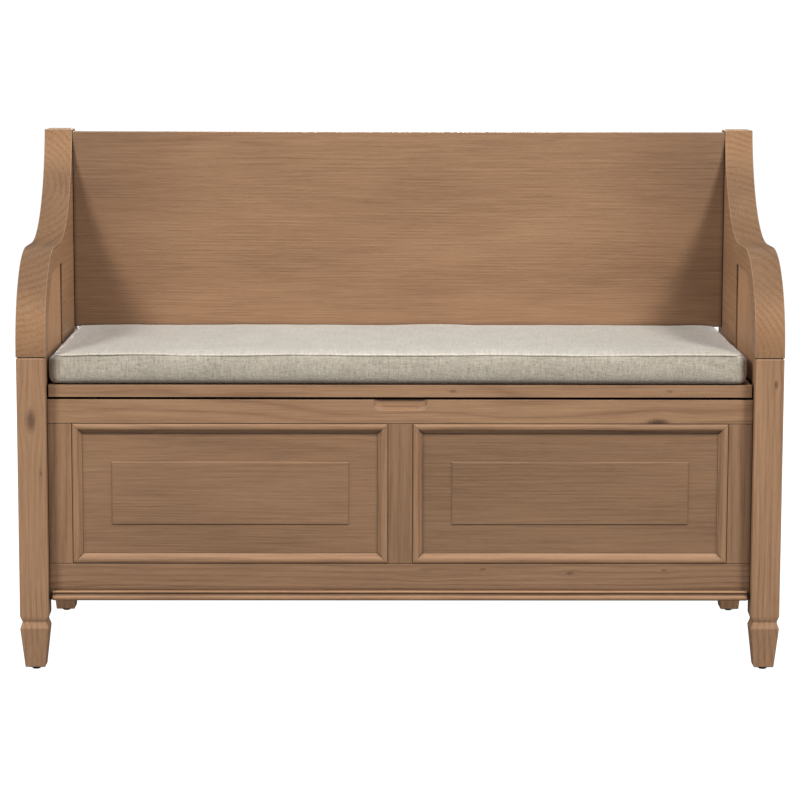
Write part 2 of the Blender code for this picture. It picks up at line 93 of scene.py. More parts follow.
# Azimuth from the front, elevation, watts and colour of each softbox.
SOFTBOXES = {
    "left": (-46, 38, 74, WARM_LIGHT),
    "right": (46, 38, 82, WARM_LIGHT),
    "top": (0, 88, 32, COOL_LIGHT),
    "rear": (180, 30, 58, WARM_LIGHT),
}
SKY_GLOW = (0.130, 0.155, 0.185)
SKY_SEEN = (1.1, 1.1, 1.1)
FLOOR_HALF = 400.0
FLOOR_COLOUR = (0.25, 0.25, 0.25)

# Wood colours, dark to light, as linear values, and the colour of light wear and of the painted highlight
# at the arrises.
WOOD_DARK = (0.205, 0.107, 0.054)
WOOD_MID = (0.413, 0.229, 0.122)
WOOD_LIGHT = (0.580, 0.345, 0.190)
WOOD_WORN_AND_HIGHLIT = (0.680, 0.440, 0.265)
# Where plain wood and a rubbed arris, lighter also as a painted highlight, lie between dark and light.
PLAIN_LEVEL = 0.5
RUBBED_AND_HIGHLIT_LEVEL = 0.85
WOOD_ROUGHNESS = 0.52

# The axes along the grain, across it and through the board, for each direction of the grain.
AXES = {"X": (0, 2, 1), "Y": (1, 2, 0), "Z": (2, 0, 1)}
# Fibres, fine fibres and blotches: cycles to the metre along those axes, detail, roughness and weight.
GRAIN_NOISE = (
    ((11.0, 420.0, 420.0), 3.0, 0.6, 0.75),
    ((55.0, 1700.0, 1700.0), 2.0, 0.6, 0.45),
    ((3.5, 13.0, 13.0), 3.0, 0.5, 0.55),
)
# How far apart, in cycles of the noise, two boards may lie in it, and the span in which a patch shows.
NOISE_REACH = 50
PATCH_SPAN = (0.35, 0.65)
# Growth rings: the noise that bends them and how far in metres, the noise that makes them come and go and
# how faint they get, how narrow and how dark on average the late wood is.
RING_WANDER = (2.0, 9.0, 9.0)
RING_SHIFT = 0.030
RING_PATCHES = (5.0, 22.0, 22.0)
RING_FAINTEST = 0.35
LATE_WOOD_POWER = 2.2
LATE_WOOD_MEAN = 0.3
# The trunk's middle: its spread across the board, as a factor, and its distance from it, in metres.
PITH_SPREAD = (0.7, 1.3)
PITH_DEPTH = (0.045, 0.080)

# Knots: how slender they are, how wide and how strongly the grain bends round them, and their ragged rim.
KNOT_COLOUR = (0.085, 0.044, 0.026)
KNOT_STRETCH = 0.42
KNOT_FALLOFF = -0.18
KNOT_BEND = 0.8
KNOT_SPECKLE = (260.0, 620.0, 1.0)
KNOT_RAGGED = 0.9
KNOT_RIM = (1.35, 0.25)

# Samples for finding edges and corners, and the cosines between the rounded and the true normal on a flat
# face and at an edge.
SHADER_SAMPLES = 4
EDGE_COSINES = (0.98, 0.80)
# Light wear with a painted highlight at the arrises, and old polish with painted shade, dark, in the
# corners:
# their widths in metres, how worn the arrises are from patch to patch, and the tone of the deepest corners.
WEAR_AND_HIGHLIGHT_WIDTH = 0.0018
WEAR_AND_HIGHLIGHT = (0.3, 0.8)
POLISH_AND_SHADE_WIDTH = 0.007
POLISH_AND_SHADE_TONE = 0.40
# Painted shade towards the ends of a board, where the arms shade it: the shares of its length from the
# middle where it starts and where it is full, and its tone.
END_SHADE_SPAN = (0.28, 0.5)
END_SHADE_TONE = 0.76
# The arms' edges are darkest at one level, a share of their height, and lighter above and below it, over
# this span of shares, as painted light and as wear where hands hold them. Worn wood hardly shines.
LIT_AND_HANDLED_LEVEL = 0.6
LIT_AND_HANDLED_SPAN = (0.15, 0.34)
WOOD_LIT_AND_HANDLED = (1.46, 1.44, 1.40)
HANDLED_SPECULAR = 0.12

# Grain direction, bevel in metres and tone of each group of wooden nodes, by the start of the name.
GROUPS = {
    "front_leg": ("Z", 0.0014, 1.03),
    "rear_leg": ("Z", 0.0014, 1.0),
    "arm_panel": ("Z", 0.0008, 1.16),
    "arm": ("Y", 0.0026, 0.88),
    "side_top_rail": ("Y", 0.0006, 0.98),
    "side_bottom_rail": ("Y", 0.0006, 0.95),
    "side_panel": ("Y", 0.0005, 0.95),
    "seat_back_panel": ("X", 0.0012, 0.79),
    "front_top_rail": ("X", 0.0009, 0.98),
    "front_bottom_rail": ("X", 0.0009, 0.82),
    "front_stile": ("Z", 0.0009, 0.86),
    "front_stile_right": ("Z", 0.0009, 0.78),
    "front_centre_stile": ("Z", 0.0009, 0.78),
    "front_panel": ("X", 0.0004, 0.81),
    "front_panel_right": ("X", 0.0004, 0.74),
    "panel_moulding": ("X", 0.0003, 1.0),
    "base_moulding": ("X", 0.0003, 1.08),
    "chest_back_board": ("X", 0.0005, 0.92),
    "rear_top_rail": ("X", 0.0006, 0.95),
    "rear_bottom_rail": ("X", 0.0006, 0.95),
    "rear_seat_strip": ("X", 0.0008, 0.98),
    "floor_board": ("X", 0.0005, 0.92),
    "floor_cleat": ("X", 0.0005, 0.95),
    "seat_lid": ("X", 0.0012, 0.94),
}
# How far the tones of two boards of one group may differ, either way.
TONE_SPREAD = 0.025
# Rings to the metre, how strongly they show, and how far off the board's middle, in widths, the trunk's
# middle lies, by the start of the name. The last is for the rest.
FINE_FIGURE = (240, 0.14, 0.4)
FIGURES = {
    "seat_back_panel": FINE_FIGURE,
    "front_panel": FINE_FIGURE,
    "chest_back_board": FINE_FIGURE,
    "floor_board": FINE_FIGURE,
    "side_panel": FINE_FIGURE,
    "arm_panel": (120, 0.22, 1.0),
    "arm": (115, 0.23, 0.3),
    "": (150, 0.30, 1.2),
}
# Pieces with painted shade, darker towards their ends.
END_SHADED = ("seat_back_panel",)
# Pieces with dark end grain and painted shade on their edges, and arrises rubbed light by hands and painted
# as a highlight, and the tone of each.
RUBBED_AND_LIT = ("arm_left", "arm_right")
EDGE_TONES = {"edge": 0.67, "arris": 0.72}
# Knots as (share along the grain, share across it, radius in metres, darkness).
KNOTS = {
    "front_leg_left": [(0.80, 0.49, 0.0072, 0.72), (0.63, 0.8, 0.0016, 0.45)],
    "front_leg_right": [(0.917, 0.72, 0.0028, 0.70)],
    "front_top_rail": [(0.865, 0.01, 0.0070, 0.92)],
    "seat_lid": [(0.575, 0.5, 0.0024, 0.50), (0.883, 0.5, 0.0022, 0.50)],
    "front_bottom_rail": [
        (0.742, 0.74, 0.0026, 0.55), (0.618, 0.85, 0.0022, 0.45), (0.877, 0.82, 0.0020, 0.50),
        (0.536, 0.80, 0.0050, 0.22),
    ],
}

# Refined meshes: points nearer than this, in metres, are one, faces flatter than this, in degrees, are one,
# edges sharper than this are rounded, and large faces lead their points' normals by this weight.
WELD_DISTANCE = 1e-6
FLAT_ANGLE = 0.6
SHARP_ANGLE = 24
NORMAL_WEIGHT = 80

# Linen colours, how much lighter the top is painted, as painted light, and how much lighter its welt is
# painted, as a painted highlight.
LINEN_DARK = (0.240, 0.206, 0.154)
LINEN_MID = (0.485, 0.426, 0.340)
LINEN_LIGHT = (0.665, 0.600, 0.495)
LINEN_TOP_LIGHT = (1.31, 1.34, 1.37)
# The painted light on the top fades between these distances from the seat's middle, in metres, to this
# share, as painted shade towards the ends.
TOP_LIGHT_SPAN = (0.15, 0.47)
TOP_LIGHT_END = 0.35
WELT_HIGHLIGHT = 1.12
WELT_RADIUS = 0.0013
WELT_DROP = 0.0013
# Linen threads: their pitch in metres, and the noise along each of the three directions with its offset.
THREAD_PITCH = 0.0011
THREAD_NOISE = (
    ((130.0, 850.0, 850.0), (3.1, 7.7, 1.3)),
    ((850.0, 130.0, 850.0), (8.4, 2.2, 5.9)),
    ((850.0, 850.0, 130.0), (1.9, 6.1, 4.4)),
)
WEAVE_MEAN = 1.2
LINEN_CLOUD = (14.0, 14.0, 14.0)
LINEN_SLUBS = (330.0, 24.0, 60.0)

# Cushion, in metres: the cells of its cover and the rounding of its plan corners and of its ends.
CUSHION_CELL = 0.0055
CUSHION_CORNER = 0.014
CUSHION_END_ROUND = 0.008
# How far the unfilled cover lies inside the CAD box at the sides and at the top, how far its underside is
# drawn in from the front and the back, and how far above the underside its sides start.
CUSHION_SHRINK = 0.0008
CUSHION_DROP = 0.002
CUSHION_TUCK = 0.010
CUSHION_LIP = 0.0021
# The filling: its steps, how firmly the seams hold, and about how far a point may move in metres.
FILL_STEPS = 20
SEAM_HOLD = 0.6
CUSHION_CAP = 0.007
# How far the filled cushion may stand out of its CAD box: (left, front, bottom), (right, back, top).
CUSHION_ROOM = ((0.0002, 0.0030, 0.0001), (0.0045, 0.0015, 0.0080))
# Dents and waves of the used cover, as cycles to the metre and height in metres.
TOP_WAVES = ((9.0, 0.0016), (26.0, 0.0007))
SIDE_WAVE = (17.0, 0.0012)


class Tree:
    """Adds and joins a material's shader nodes."""

    def __init__(self, name):
        self.material = bpy.data.materials.new(name)
        self.material.use_nodes = True
        self.nodes = self.material.node_tree.nodes
        self.links = self.material.node_tree.links
        self.shader = self.nodes["Principled BSDF"]

    def add(self, kind, **settings):
        node = self.nodes.new(kind)
        for setting, value in settings.items():
            setattr(node, setting, value)
        return node

    def feed(self, socket, value):
        if isinstance(value, bpy.types.NodeSocket):
            self.links.new(value, socket)
        else:
            socket.default_value = value

    def math(self, operation, *values):
        node = self.add("ShaderNodeMath", operation=operation)
        for socket, value in zip(node.inputs, values):
            self.feed(socket, value)
        return node.outputs[0]

    def vector(self, operation, *values):
        node = self.add("ShaderNodeVectorMath", operation=operation)
        for socket, value in zip(node.inputs, values):
            self.feed(socket, value)
        return node.outputs["Value" if operation in ("LENGTH", "DOT_PRODUCT") else "Vector"]

    def combine(self, *values):
        node = self.add("ShaderNodeCombineXYZ")
        for socket, value in zip(node.inputs, values):
            self.feed(socket, value)
        return node.outputs[0]

    def place(self):
        """The point's own coordinates on its object, along X, Y and Z."""
        point = self.add("ShaderNodeTexCoord").outputs["Object"]
        split = self.add("ShaderNodeSeparateXYZ")
        self.feed(split.inputs[0], point)
        return list(split.outputs)

    def noise(self, vector, scale, offset=(0, 0, 0), detail=2.0, roughness=0.5):
        """Noise stretched along each axis by scale, from 0 to 1."""
        mapping = self.add("ShaderNodeMapping")
        self.feed(mapping.inputs["Vector"], vector)
        mapping.inputs["Location"].default_value = offset
        mapping.inputs["Scale"].default_value = scale
        node = self.add("ShaderNodeTexNoise")
        self.feed(node.inputs["Vector"], mapping.outputs[0])
        node.inputs["Scale"].default_value = 1.0
        node.inputs["Detail"].default_value = detail
        node.inputs["Roughness"].default_value = roughness
        return node.outputs["Fac"]

    def fade(self, value, start, end, low=0.0, high=1.0):
        """Turns smoothly from low to high as value goes from start to end."""
        node = self.add("ShaderNodeMapRange", interpolation_type="SMOOTHSTEP")
        for socket, given in zip(node.inputs, (value, start, end, low, high)):
            self.feed(socket, given)
        return node.outputs[0]

    def weigh(self, base, *terms):
        """base plus each term's value, taken about its middle, times its weight."""
        total = base
        for value, weight, middle in terms:
            total = self.math("MULTIPLY_ADD", self.math("SUBTRACT", value, middle), weight, total)
        return total

    def ramp(self, factor, colours):
        node = self.add("ShaderNodeValToRGB")
        stops = node.color_ramp.elements
        while len(stops) < len(colours):
            stops.new(0.5)
        for i, (stop, colour) in enumerate(zip(stops, colours)):
            stop.position = i / (len(colours) - 1)
            stop.color = (*colour, 1.0)
        self.feed(node.inputs[0], factor)
        return node.outputs["Color"]

    def mix(self, factor, first, second, blend="MIX"):
        node = self.add("ShaderNodeMix", data_type="RGBA", blend_type=blend)
        self.feed(node.inputs["Factor"], factor)
        self.feed(node.inputs["A"], first)
        self.feed(node.inputs["B"], second)
        return node.outputs["Result"]

    def bump(self, height, strength, distance):
        node = self.add("ShaderNodeBump")
        self.feed(node.inputs["Height"], height)
        node.inputs["Strength"].default_value = strength
        node.inputs["Distance"].default_value = distance
        self.feed(self.shader.inputs["Normal"], node.outputs[0])

    def edges(self, radius):
        """1 at sharp edges and 0 on flat faces."""
        bevel = self.add("ShaderNodeBevel", samples=SHADER_SAMPLES)
        bevel.inputs["Radius"].default_value = radius
        normal = self.add("ShaderNodeNewGeometry").outputs["Normal"]
        return self.fade(self.vector("DOT_PRODUCT", bevel.outputs[0], normal), *EDGE_COSINES)

    def corners(self, distance):
        """1 in the open and 0 deep in corners and joints."""
        shade = self.add("ShaderNodeAmbientOcclusion", samples=SHADER_SAMPLES)
        shade.inputs["Distance"].default_value = distance
        return shade.outputs["AO"]


def scaled(colour, tone):
    return tuple(channel * tone for channel in colour)


def along_grain(parts, grain):
    """The parts along the grain, across it and through the board, of something given along X, Y and Z."""
    return [parts[axis] for axis in AXES[grain]]


def knot_fields(tree, along, across, knots):
    """Bends the grain round each knot; returns the new across, and how dark the knots make a point."""
    dark = 0.0
    speckle = tree.noise(tree.combine(along, across, 0.0), KNOT_SPECKLE, detail=3.0)
    for place_along, place_across, radius, depth in knots:
        run = tree.math("MULTIPLY", tree.math("SUBTRACT", along, place_along), KNOT_STRETCH)
        rise = tree.math("SUBTRACT", across, place_across)
        reach = tree.vector("LENGTH", tree.combine(run, rise, 0.0))
        share = tree.math("DIVIDE", reach, radius)
        near = tree.math("EXPONENT", tree.math("MULTIPLY", tree.math("POWER", share, 2.0), KNOT_FALLOFF))
        bend = tree.math("MULTIPLY", rise, tree.math("MULTIPLY", near, KNOT_BEND))
        across = tree.math("SUBTRACT", across, bend)
        ragged = tree.weigh(share, (speckle, KNOT_RAGGED, 0.5))
        spot = tree.math("MULTIPLY", tree.fade(ragged, *KNOT_RIM), depth)
        dark = tree.math("MAXIMUM", dark, spot)
    return across, dark


def late_wood(tree, point, section, pith, rings, offset):
    """The dark late wood of each ring, from 0 to 1; section is the point's place across the grain."""
    spoke = tree.combine(*[tree.math("SUBTRACT", own, centre) for own, centre in zip(section, pith)], 0.0)
    wander = tree.noise(point, RING_WANDER, offset)
    radius = tree.weigh(tree.vector("LENGTH", spoke), (wander, RING_SHIFT, 0.5))
    turn = tree.math("PINGPONG", tree.math("MULTIPLY", radius, rings), 0.5)
    return tree.math("POWER", tree.math("MULTIPLY", turn, 2.0), LATE_WOOD_POWER)


def lit_and_handled(tree, colour, across, low, size):
    """Lightens an arm's edge towards its top and its bottom, as painted light and as wear where hands hold
    it.
    """
    reach = tree.math("ABSOLUTE", tree.math("SUBTRACT", across, low + LIT_AND_HANDLED_LEVEL * size))
    share = tree.fade(reach, *[span * size for span in LIT_AND_HANDLED_SPAN])
    tree.shader.inputs["Specular IOR Level"].default_value = HANDLED_SPECULAR
    return tree.mix(share, colour, (*WOOD_LIT_AND_HANDLED, 1.0), "MULTIPLY")


def wear_and_highlight_share(tree, blotch, open_air, rubbed_and_highlit):
    """How worn wood is, with its painted highlight: in patches, at its arrises only or, when rubbed, all
    over.
    """
    wear_and_highlight = tree.fade(blotch, *PATCH_SPAN, *WEAR_AND_HIGHLIGHT)
    if not rubbed_and_highlit:
        wear_and_highlight = tree.math("MULTIPLY", wear_and_highlight, tree.edges(WEAR_AND_HIGHLIGHT_WIDTH))
    return tree.math("MULTIPLY", wear_and_highlight, tree.fade(open_air, 0.6, 0.95))


def end_shade(tree, along, middle, size):
    """The tone of painted shade, 1 on most of a board and darker towards its ends."""
    reach = tree.math("ABSOLUTE", tree.math("SUBTRACT", along, middle))
    return tree.fade(reach, *[span * size for span in END_SHADE_SPAN], 1.0, END_SHADE_TONE)


def wood(node, grain, tone, look, knots=(), part=""):
    """Solid wood or veneer; part is empty or names the edge or the arris of an arm."""
    rings, figure, pith_share = look
    rng = random.Random(node)
    low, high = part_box(node)
    size = along_grain(high - low, grain)
    middle = along_grain((low + high) / 2, grain)
    low = along_grain(low, grain)
    rubbed_and_highlit = part == "arris"
    tree = Tree(f"{node}_{part or 'wood'}")
    along, across, through = along_grain(tree.place(), grain)
    spots = [
        (low[0] + share * size[0], low[1] + level * size[1], radius, depth)
        for share, level, radius, depth in knots
    ]
    across, dark = knot_fields(tree, along, across, spots)
    point = tree.combine(along, across, through)
    offset = [rng.uniform(-NOISE_REACH, NOISE_REACH) for _ in range(3)]
    pith = [
        middle[1] + rng.choice((-1, 1)) * rng.uniform(*PITH_SPREAD) * pith_share * size[1],
        middle[2] + rng.choice((-1, 1)) * rng.uniform(*PITH_DEPTH),
    ]
    late = late_wood(tree, point, (across, through), pith, rings, offset)
    patches = tree.noise(point, RING_PATCHES, offset)
    strength = tree.fade(patches, *PATCH_SPAN, -RING_FAINTEST * figure, -figure)
    layers = [tree.noise(point, scale, offset, detail, rough) for scale, detail, rough, _ in GRAIN_NOISE]
    fibre, fine, blotch = layers
    terms = [(layer, weight, 0.5) for layer, (*_, weight) in zip(layers, GRAIN_NOISE)]
    factor = tree.weigh(RUBBED_AND_HIGHLIT_LEVEL if rubbed_and_highlit else PLAIN_LEVEL, *terms, (late, strength, LATE_WOOD_MEAN))
    colour = tree.ramp(factor, [scaled(c, tone) for c in (WOOD_DARK, WOOD_MID, WOOD_LIGHT)])
    # Painted light and hand wear: the arms' edges lighter above and below their darkest level.
    if part:
        colour = lit_and_handled(tree, colour, across, low[1], size[1])
    if knots:
        colour = tree.mix(dark, colour, (*KNOT_COLOUR, 1.0))
    open_air = tree.corners(POLISH_AND_SHADE_WIDTH)
    # Light wear and a painted highlight at the arrises.
    share = wear_and_highlight_share(tree, blotch, open_air, rubbed_and_highlit)
    colour = tree.mix(share, colour, (*scaled(WOOD_WORN_AND_HIGHLIT, tone), 1.0))
    # Old polish and painted shade: darker in the corners and joints.
    polish_and_shade = tree.fade(open_air, 0.45, 1.0, POLISH_AND_SHADE_TONE, 1.0)
    # Painted shade: darker towards the ends of the board.
    if node in END_SHADED:
        polish_and_shade = tree.math("MULTIPLY", polish_and_shade, end_shade(tree, along, middle[0], size[0]))
    colour = tree.mix(1.0, colour, tree.combine(polish_and_shade, polish_and_shade, polish_and_shade), "MULTIPLY")
    tree.feed(tree.shader.inputs["Base Color"], colour)
    tree.feed(tree.shader.inputs["Roughness"], tree.weigh(WOOD_ROUGHNESS, (fine, 0.25, 0.5)))
    relief = tree.weigh(0.0, (fibre, 0.6, 0.5), (fine, 0.5, 0.5), (late, -0.25, LATE_WOOD_MEAN))
    tree.bump(relief, 0.35, 0.0005)
    return tree.material


def refine(node, material, bevel, edge_materials=()):
    """A copy of a CAD node with rounded arrises, which stands for it.

    Given edge materials, the faces that look along the width keep the first material, the others take the
    second and the arrises the third.
    """
    source = frame["nodes"][node]
    bm = bmesh.new()
    bm.from_mesh(source.data)
    bmesh.ops.remove_doubles(bm, verts=bm.verts, dist=WELD_DISTANCE)
    bmesh.ops.dissolve_limit(bm, angle_limit=math.radians(FLAT_ANGLE), verts=bm.verts, edges=bm.edges)
    limit = math.radians(SHARP_ANGLE)
    edges = [e for e in bm.edges if len(e.link_faces) == 2 and e.calc_face_angle() > limit]
    made = bmesh.ops.bevel(bm, geom=edges, offset=bevel, segments=2, profile=0.5, affect="EDGES",
                           clamp_overlap=True)
    for face in bm.faces:
        face.material_index = 1 if edge_materials and abs(face.normal.x) < 0.5 else 0
    if edge_materials:
        for face in made["faces"]:
            face.material_index = 2
    mesh = bpy.data.meshes.new(node)
    bm.to_mesh(mesh)
    bm.free()
    for own in (material, *edge_materials):
        mesh.materials.append(own)
    mesh.shade_smooth()
    piece = bpy.data.objects.new(f"{node}_piece", mesh)
    bpy.context.scene.collection.objects.link(piece)
    normals = piece.modifiers.new("normals", "WEIGHTED_NORMAL")
    normals.weight = NORMAL_WEIGHT
    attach(piece, source["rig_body"])
    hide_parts(node)


def record_slot(node):
    return next(part["material_slot"] for part in frame["record"]["subparts"] if part["node"] == node)


def by_name(table, node):
    """The entry of a table under the longest key that starts the node's name."""
    return table[max((key for key in table if node.startswith(key)), key=len)]


def make_wood():
    for node in sorted(frame["nodes"]):
        slot = record_slot(node)
        if slot not in ("wood", "panel_wood"):
            continue
        grain, bevel, tone = by_name(GROUPS, node)
        if node.startswith("panel_moulding") and node.endswith(("left", "right")):
            grain = "Z"
        tone *= 1 + random.Random(node + "tone").uniform(-TONE_SPREAD, TONE_SPREAD)
        look = by_name(FIGURES, node)
        material = wood(node, grain, tone, look, KNOTS.get(node, ()))
        edges = []
        # The arms' edges darker, as end grain and as painted shade, and their arrises lighter, as wear and
        # painted highlight.
        if node in RUBBED_AND_LIT:
            edges = [wood(node, grain, tone * share, look, part=part) for part, share in EDGE_TONES.items()]
        refine(node, material, bevel, edges)


def rubber():
    tree = Tree("glide_rubber")
    point = tree.combine(*tree.place())
    grit = tree.noise(point, (900.0, 900.0, 900.0), detail=3.0)
    tree.feed(tree.shader.inputs["Base Color"], tree.ramp(grit, [(0.012,) * 3, (0.030,) * 3]))
    tree.feed(tree.shader.inputs["Roughness"], tree.weigh(0.75, (grit, 0.3, 0.5)))
    tree.bump(grit, 0.3, 0.0003)
    return tree.material


def steel():
    tree = Tree("hinge_steel")
    point = tree.combine(*tree.place())
    brushed = tree.noise(point, (60.0, 2500.0, 2500.0), detail=3.0)
    cloud = tree.noise(point, (90.0, 90.0, 90.0), detail=3.0)
    factor = tree.weigh(0.5, (brushed, 0.6, 0.5), (cloud, 0.5, 0.5))
    tree.feed(tree.shader.inputs["Base Color"], tree.ramp(factor, [(0.34, 0.33, 0.30), (0.60, 0.58, 0.54)]))
    tree.shader.inputs["Metallic"].default_value = 1.0
    tree.feed(tree.shader.inputs["Roughness"], tree.weigh(0.34, (brushed, 0.25, 0.5), (cloud, 0.2, 0.5)))
    tree.bump(brushed, 0.2, 0.0002)
    return tree.material


def make_hardware():
    finishes = {"rubber": rubber(), "steel": steel()}
    for node, obj in frame["nodes"].items():
        slot = record_slot(node)
        if slot in finishes:
            obj.data.materials.clear()
            obj.data.materials.append(finishes[slot])


def linen(name, tone=1.0):
    """Oatmeal plain weave: threads along X, Y and Z show as a grid on every face."""
    tree = Tree(name)
    axes = tree.place()
    point = tree.combine(*axes)
    runs = [tree.noise(point, scale, offset, 2.0, 0.6) for scale, offset in THREAD_NOISE]
    threads = [
        tree.math("ABSOLUTE", tree.math("SINE", tree.math("MULTIPLY", axis, math.pi / THREAD_PITCH)))
        for axis in axes
    ]
    weave = tree.math("ADD", tree.math("ADD", threads[0], threads[1]), threads[2])
    cloud = tree.noise(point, LINEN_CLOUD, detail=3.0)
    slub = tree.noise(point, LINEN_SLUBS, detail=3.0)
    terms = [(run, 0.95, 0.5) for run in runs]
    factor = tree.weigh(0.5, *terms, (weave, 0.10, WEAVE_MEAN), (cloud, 0.25, 0.5), (slub, 0.65, 0.5))
    cloth = tree.ramp(factor, [scaled(colour, tone) for colour in (LINEN_DARK, LINEN_MID, LINEN_LIGHT)])
    facing = tree.add("ShaderNodeSeparateXYZ")
    tree.feed(facing.inputs[0], tree.add("ShaderNodeNewGeometry").outputs["Normal"])
    # Painted light on the top, fading towards the ends as painted shade.
    middle = tree.fade(tree.math("ABSOLUTE", axes[0]), *TOP_LIGHT_SPAN, 1.0, TOP_LIGHT_END)
    top_light = tree.math("MULTIPLY", tree.fade(facing.outputs["Z"], 0.2, 0.95), middle)
    cloth = tree.mix(top_light, cloth, (*LINEN_TOP_LIGHT, 1.0), "MULTIPLY")
    tree.feed(tree.shader.inputs["Base Color"], cloth)
    tree.shader.inputs["Roughness"].default_value = 0.95
    tree.shader.inputs["Sheen Weight"].default_value = 1.0
    tree.shader.inputs["Sheen Roughness"].default_value = 0.35
    height = tree.weigh(0.0, *[(run, 0.5, 0.5) for run in runs], (weave, 0.25, WEAVE_MEAN))
    tree.bump(height, 0.6, 0.0006)
    return tree.material


def cushion_lattice(low, high):
    """Points on a box's surface about one cell apart, as (i, j, k) steps, and the quads between them."""
    counts = [max(4, round((high[i] - low[i]) / CUSHION_CELL)) for i in range(3)]
    index, points, quads = {}, [], []

    def point(*step):
        if step not in index:
            index[step] = len(points)
            points.append(step)
        return index[step]

    for axis in range(3):
        u, v = (axis + 1) % 3, (axis + 2) % 3
        for end in (0, counts[axis]):
            for i in range(counts[u]):
                for j in range(counts[v]):
                    quad = []
                    for di, dj in ((0, 0), (1, 0), (1, 1), (0, 1)):
                        step = [0, 0, 0]
                        step[axis], step[u], step[v] = end, i + di, j + dj
                        quad.append(point(*step))
                    quads.append(quad if end else quad[::-1])
    return counts, points, quads


def round_corner(x, y, low, high):
    """Moves a point near a plan corner of the cushion so that the corner is a quarter circle."""
    centre_x = max(low.x + CUSHION_CORNER, min(high.x - CUSHION_CORNER, x))
    centre_y = max(low.y + CUSHION_CORNER, min(high.y - CUSHION_CORNER, y))
    s, t = (x - centre_x) / CUSHION_CORNER, (y - centre_y) / CUSHION_CORNER
    if not s or not t:
        return x, y
    return (
        centre_x + CUSHION_CORNER * s * math.sqrt(1 - t * t / 2),
        centre_y + CUSHION_CORNER * t * math.sqrt(1 - s * s / 2),
    )


def end_inset(height):
    """How far the cushion's ends lie back at a height from the nearer of its top and its bottom."""
    rest = max(0.0, CUSHION_END_ROUND - height)
    return CUSHION_END_ROUND - math.sqrt(CUSHION_END_ROUND ** 2 - rest ** 2)


def cover_point(step, counts, low, high):
    """Where a lattice point of the unfilled cover lies."""
    size = high - low
    middle = (low + high) / 2
    x, y, z = (low[i] + size[i] * step[i] / counts[i] for i in range(3))
    if step[2] == 0:
        y = middle.y + (y - middle.y) * (1 - 2 * CUSHION_TUCK / size.y)
    if step[2] == 1:
        z = low.z + CUSHION_LIP
    x, y = round_corner(x, y, low, high)
    x = middle.x + (x - middle.x) * (1 - 2 * end_inset(min(z - low.z, high.z - z)) / size.x)
    return Vector((x, y, z))


def make_cushion():
    """A boxed cushion: a cover with a seam round its top and bottom, filled until it is crowned."""
    low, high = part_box("cushion")
    inset = Vector((CUSHION_SHRINK, CUSHION_SHRINK, 0))
    low, high = low + inset, high - inset
    high.z -= CUSHION_DROP
    counts, steps, quads = cushion_lattice(low, high)
    points = [cover_point(step, counts, low, high) for step in steps]
    mesh = bpy.data.meshes.new("cushion_cover")
    mesh.from_pydata(points, [], quads)
    mesh.update()
    cover = bpy.data.objects.new("cushion_cover", mesh)
    bpy.context.scene.collection.objects.link(cover)
    seams = [i for i, step in enumerate(steps) if on_seam(step, counts)]
    underside = [i for i, step in enumerate(steps) if step[2] == 0]
    fill(cover, seams, underside)
    mesh.materials.append(linen("cushion_linen"))
    mesh.shade_smooth()
    settle(cover, steps, counts)
    add_welt(cover, seams, steps, counts)
    subdivide = cover.modifiers.new("subdivide", "SUBSURF")
    subdivide.levels = 1
    subdivide.render_levels = 1
    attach(cover, "cushion")
    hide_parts("cushion")


def on_seam(step, counts):
    """Whether a point lies on the rim of the top or of the underside."""
    ends = sum(step[i] in (0, counts[i]) for i in range(2))
    return ends > 0 and step[2] in (0, counts[2])


def fill(cover, seams, underside):
    """Blows the cover up as cloth, with its underside flat and its seams stiff, and keeps the shape."""
    rest = [v.co.copy() for v in cover.data.vertices]
    group = cover.vertex_groups.new(name="held")
    group.add(seams, SEAM_HOLD, "REPLACE")
    group.add(underside, 1.0, "REPLACE")
    cloth = cover.modifiers.new("cloth", "CLOTH")
    cloth.settings.vertex_group_mass = "held"
    cloth.settings.quality = 5
    cloth.settings.mass = 0.3
    cloth.settings.tension_stiffness = 12
    cloth.settings.bending_stiffness = 1.0
    cloth.settings.use_pressure = True
    cloth.settings.uniform_pressure_force = 4
    cloth.settings.effector_weights.gravity = 0
    cloth.collision_settings.use_collision = False
    for step in range(1, FILL_STEPS + 1):
        bpy.context.scene.frame_set(step)
    graph = bpy.context.evaluated_depsgraph_get()
    blown = cover.evaluated_get(graph).data
    moved = [v.co.copy() for v in blown.vertices]
    cover.modifiers.remove(cloth)
    cover.vertex_groups.remove(group)
    bpy.context.scene.frame_set(1)
    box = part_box("cushion")
    for vertex, start, end in zip(cover.data.vertices, rest, moved):
        shift = end - start
        reach = shift.length
        if reach:
            shift *= CUSHION_CAP * math.tanh(reach / CUSHION_CAP) / reach
        for i in range(3):
            side = 1 if shift[i] > 0 else 0
            room = abs(box[side][i] - start[i]) + CUSHION_ROOM[side][i]
            vertex.co[i] = start[i] + room * math.tanh(shift[i] / room)


def settle(cover, steps, counts):
    """Small dents and waves of a used cover, none on the underside."""
    elsewhere = Vector((5, 5, 5))
    side_cycles, side_height = SIDE_WAVE
    for vertex, step in zip(cover.data.vertices, steps):
        level = step[2] / counts[2]
        wave = sum(noise.noise(vertex.co * cycles) * height for cycles, height in TOP_WAVES)
        vertex.co.z += wave * level
        if 0 < level < 1:
            vertex.co.y += noise.noise(vertex.co * side_cycles + elsewhere) * side_height


